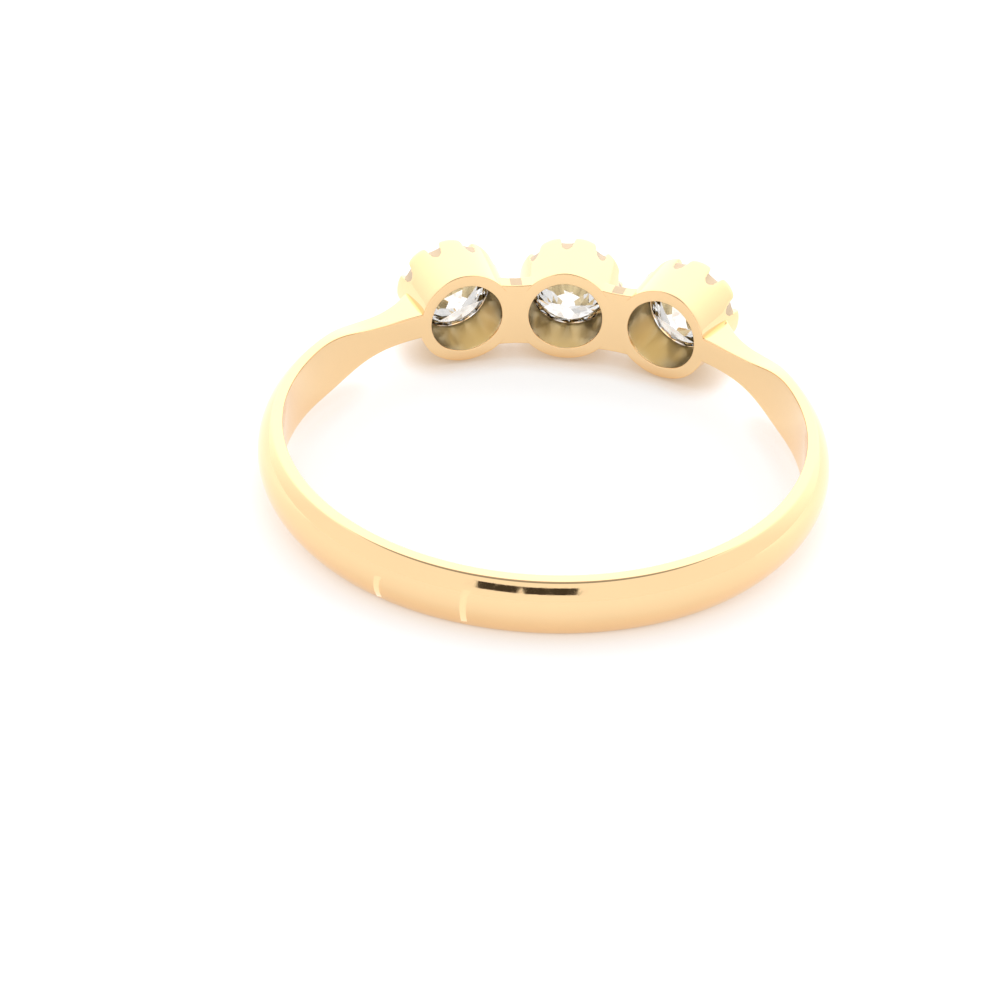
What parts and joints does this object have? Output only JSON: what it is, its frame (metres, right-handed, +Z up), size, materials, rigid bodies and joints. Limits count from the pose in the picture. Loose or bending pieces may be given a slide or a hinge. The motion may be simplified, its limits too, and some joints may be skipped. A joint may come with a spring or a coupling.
{
  "type": "three stone ring",
  "caption": "Gold finger ring with a light D band that sweeps up at its shoulders to a row of round cut stones in open-backed claw collets.",
  "frame": {"origin": "middle of the ring's length and width, on the surface that it lies on", "axes": "+Y from the back of the band towards the stones, +Z up, close to the finger's axis, +X towards the right stone"},
  "size_m": [0.0188, 0.0208, 0.0038],
  "materials": {
    "gold": "polished",
    "stone": "polished"
  },
  "bodies": {
    "root": {"gold_mount": "gold", "stone_left": "stone", "stone_centre": "stone", "stone_right": "stone"}
  },
  "joints": []
}
